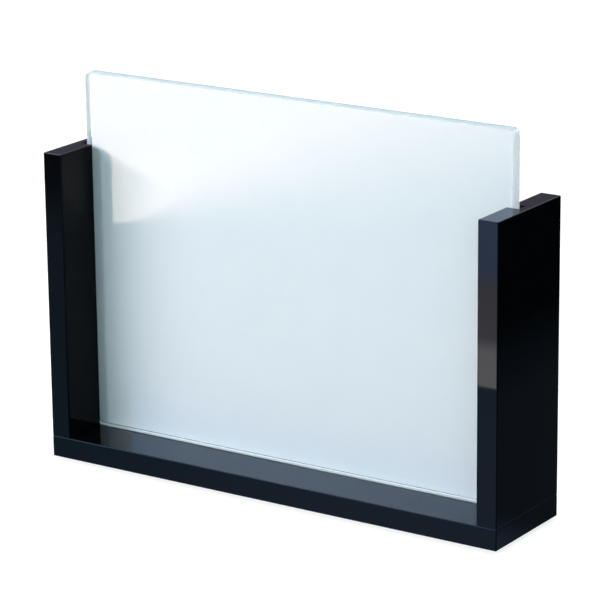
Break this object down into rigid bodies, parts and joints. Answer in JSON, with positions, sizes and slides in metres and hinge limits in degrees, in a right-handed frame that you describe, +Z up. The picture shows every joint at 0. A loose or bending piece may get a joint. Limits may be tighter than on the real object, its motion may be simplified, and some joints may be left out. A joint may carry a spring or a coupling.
{
  "type": "glass picture stand",
  "caption": "U-shaped table stand in high-gloss black with grooved posts, holding a lift-out glass picture panel that is coated white on its back.",
  "frame": {"origin": "centre of the stand's footprint, on the surface that the felt pads rest on", "axes": "+X from the left post to the right post as seen from the front, +Y from the front to the coated back, +Z up"},
  "size_m": [0.215, 0.048, 0.1629],
  "materials": {
    "black_lacquer": "high-gloss black lacquer on fibreboard",
    "clear_glass": "polished, with ground arrises",
    "white_coating": "smooth white printing coat",
    "zinc_plated_steel": "bright zinc plating",
    "black_felt": "pressed felt"
  },
  "bodies": {
    "stand": {"base_board": "black_lacquer", "left_post": "black_lacquer", "right_post": "black_lacquer", "left_front_screw": "zinc_plated_steel", "left_rear_screw": "zinc_plated_steel", "right_front_screw": "zinc_plated_steel", "right_rear_screw": "zinc_plated_steel", "left_front_pad": "black_felt", "left_rear_pad": "black_felt", "right_front_pad": "black_felt", "right_rear_pad": "black_felt"},
    "panel": {"glass_panel": "clear_glass", "picture_coating": "white_coating"}
  },
  "joints": [
    {"name": "panel_lift", "type": "slide", "parent": "stand", "child": "panel", "axis": [0, 0, 1], "range_m": [0, 0.125]}
  ]
}
